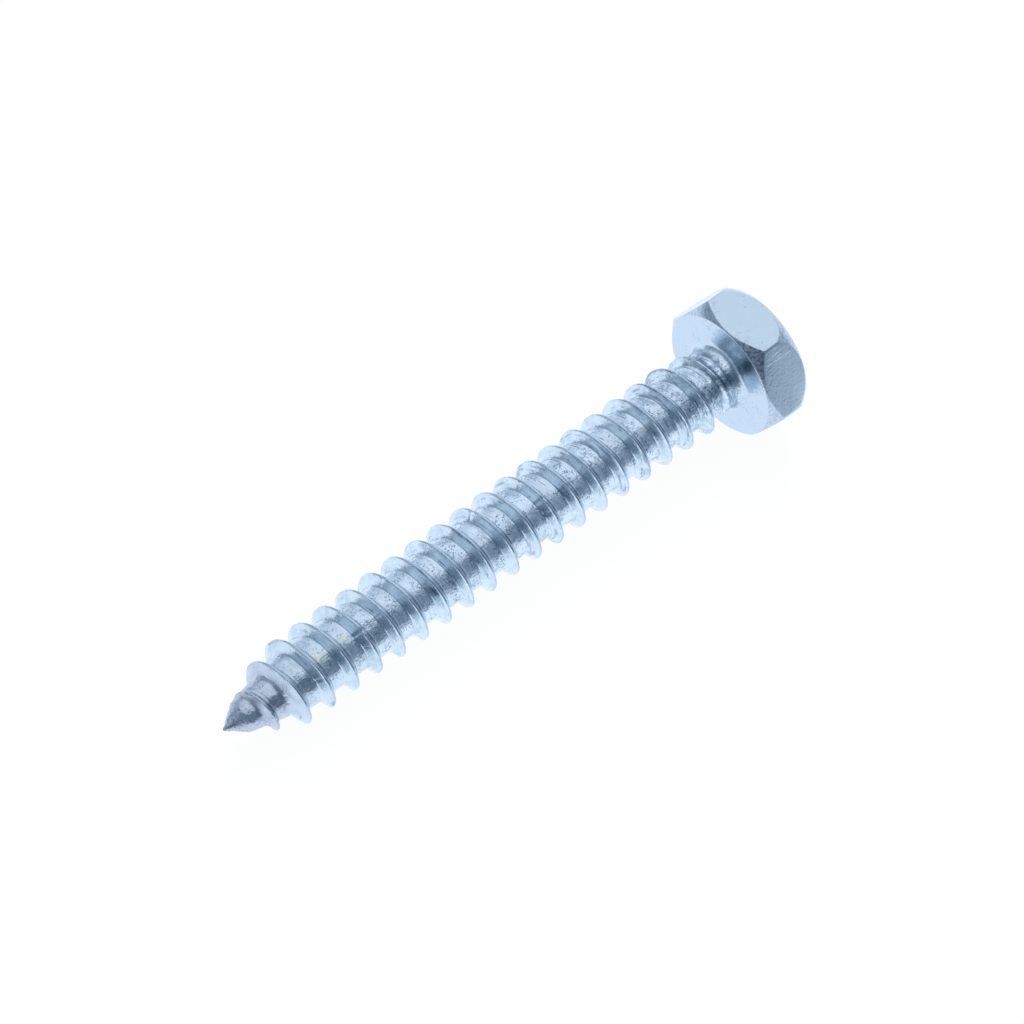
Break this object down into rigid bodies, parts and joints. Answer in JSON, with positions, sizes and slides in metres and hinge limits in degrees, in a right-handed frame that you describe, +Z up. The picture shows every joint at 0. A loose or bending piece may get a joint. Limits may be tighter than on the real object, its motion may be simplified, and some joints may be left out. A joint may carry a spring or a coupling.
{
  "type": "hex head sheet metal screw",
  "caption": "Zinc plated self-tapping screw with a plain hexagon head, a spaced right-hand thread over its whole shank and a steep conical point, lying on its side.",
  "frame": {"origin": "middle of the bounding box, on the surface that the screw lies on", "axes": "+X runs level from the point towards the head, and the screw's own axis climbs 2.8 degrees above it towards the head; +Z is up, square to the surface; one flat of the head faces up and the opposite one down"},
  "size_m": [0.034, 0.0078, 0.0069],
  "materials": {
    "zinc_plate": "bright blue-white zinc plate on rolled and cold headed steel, with fine dark pits and rolling marks"
  },
  "bodies": {
    "root": {"screw": "zinc_plate"}
  },
  "joints": []
}
